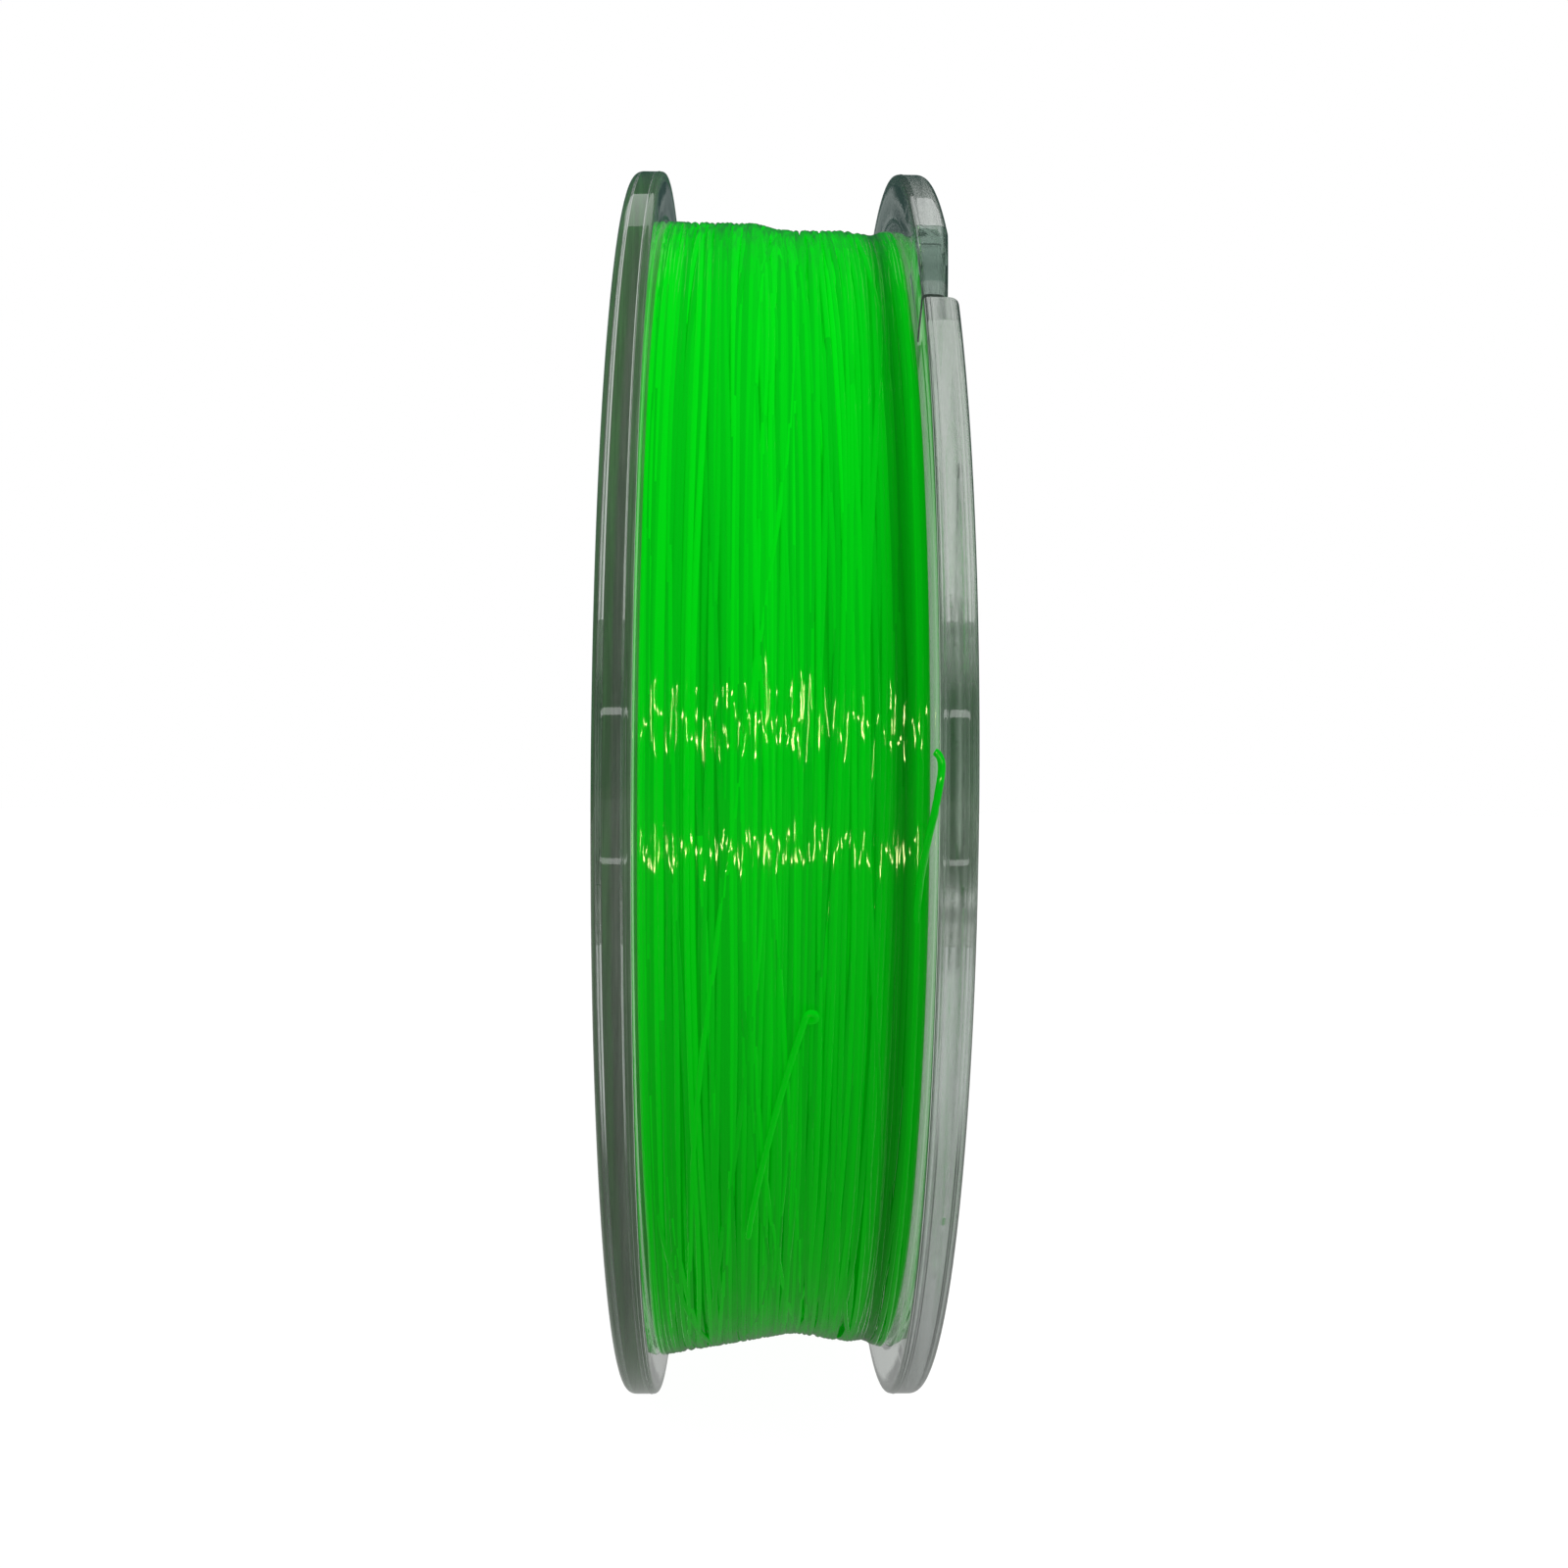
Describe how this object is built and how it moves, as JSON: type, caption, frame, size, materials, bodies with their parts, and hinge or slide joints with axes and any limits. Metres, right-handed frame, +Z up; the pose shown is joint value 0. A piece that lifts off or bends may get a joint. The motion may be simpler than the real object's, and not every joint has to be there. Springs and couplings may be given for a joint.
{
  "type": "fishing line spool",
  "caption": "Clear two-flange spool wound with fluorescent green monofilament, with a sprung line clip in one rim and free line ends.",
  "frame": {"origin": "centre of the spool, on its axis, half-way between the flanges", "axes": "+X along the spool's axis towards the flange with the line clip, +Z up, -Y towards the side with the free line ends"},
  "size_m": [0.0224, 0.0998, 0.0998],
  "materials": {
    "clear_plastic": "clear, slightly smoky, polished mould finish",
    "label_paper": "satin coated paper",
    "green_line": "translucent fluorescent green monofilament"
  },
  "bodies": {
    "spool": {"left_flange": "clear_plastic", "right_flange": "clear_plastic", "hub_barrel": "clear_plastic", "left_label": "label_paper", "wound_line": "green_line"},
    "clip": {"line_clip": "clear_plastic"},
    "tag_end": {"line_tag_end": "green_line"},
    "start_end": {"line_start_end": "green_line"}
  },
  "joints": [
    {"name": "line_clip_flex", "type": "hinge", "parent": "spool", "child": "clip", "pos_m": [0.01, -0.03159, 0.03634], "axis": [0, -0.6561, 0.7547], "range_deg": [-3, 7], "stiffness_Nm_per_rad": 0.05},
    {"name": "line_tag_lift", "type": "hinge", "parent": "spool", "child": "tag_end", "pos_m": [0.0018, -0.04366, -0.01469], "axis": [-0.9792, -0.0647, 0.1924], "range_deg": [0, 45]},
    {"name": "line_start_lift", "type": "hinge", "parent": "spool", "child": "start_end", "pos_m": [0.0082, -0.04538, -0.01006], "axis": [0.9997, 0.0054, -0.0242], "range_deg": [0, 35]}
  ]
}
